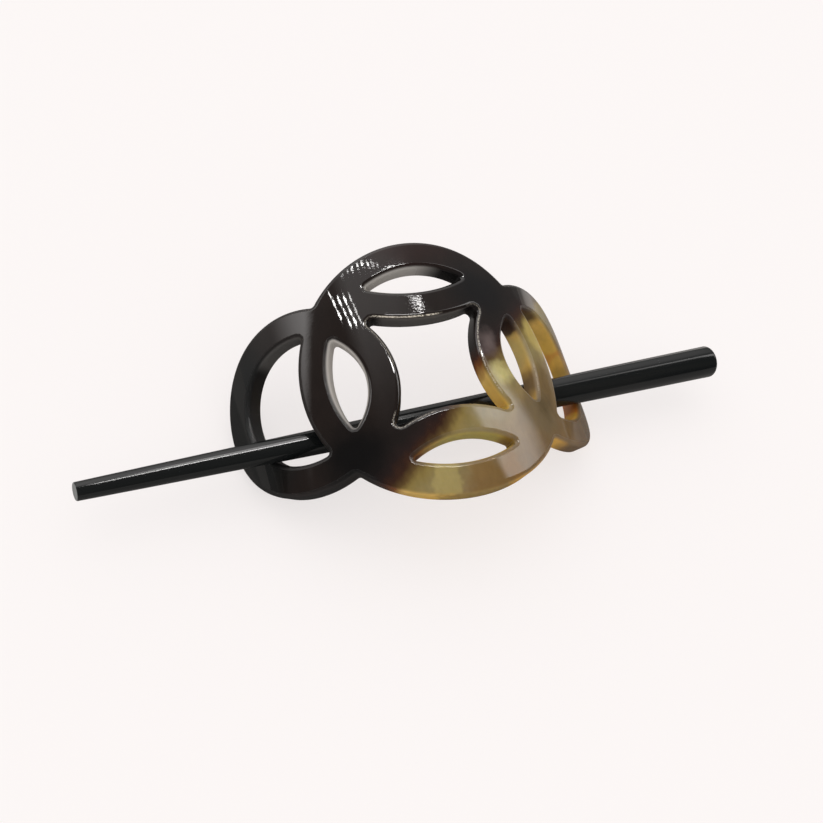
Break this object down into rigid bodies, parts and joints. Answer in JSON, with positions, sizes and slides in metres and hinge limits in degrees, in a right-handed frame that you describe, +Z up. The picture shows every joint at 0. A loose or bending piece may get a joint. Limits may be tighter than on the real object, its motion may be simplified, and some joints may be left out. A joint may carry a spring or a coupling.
{
  "type": "stick barrette",
  "caption": "Arched openwork horn plate of overlapping rings, held in gathered hair by a tapered stick that passes under its middle.",
  "frame": {"origin": "bottom centre of the whole part's box, on the surface that it rests on", "axes": "+Z up, X along the barrette with the stick's thick end towards +X, -Y towards the plate's lower edge, on the stick's side"},
  "size_m": [0.151, 0.0584, 0.0344],
  "materials": {
    "plate_horn": "polished horn, clouded from near black to translucent olive, amber and grey tan",
    "stick_horn": "smooth black horn with a satin gloss"
  },
  "bodies": {
    "plate": {"openwork_plate": "plate_horn"},
    "stick": {"stick": "stick_horn"}
  },
  "joints": [
    {"name": "stick_slide", "type": "slide", "parent": "plate", "child": "stick", "axis": [0.9987, 0.0508, -0.0039], "range_m": [0, 0.125]}
  ]
}
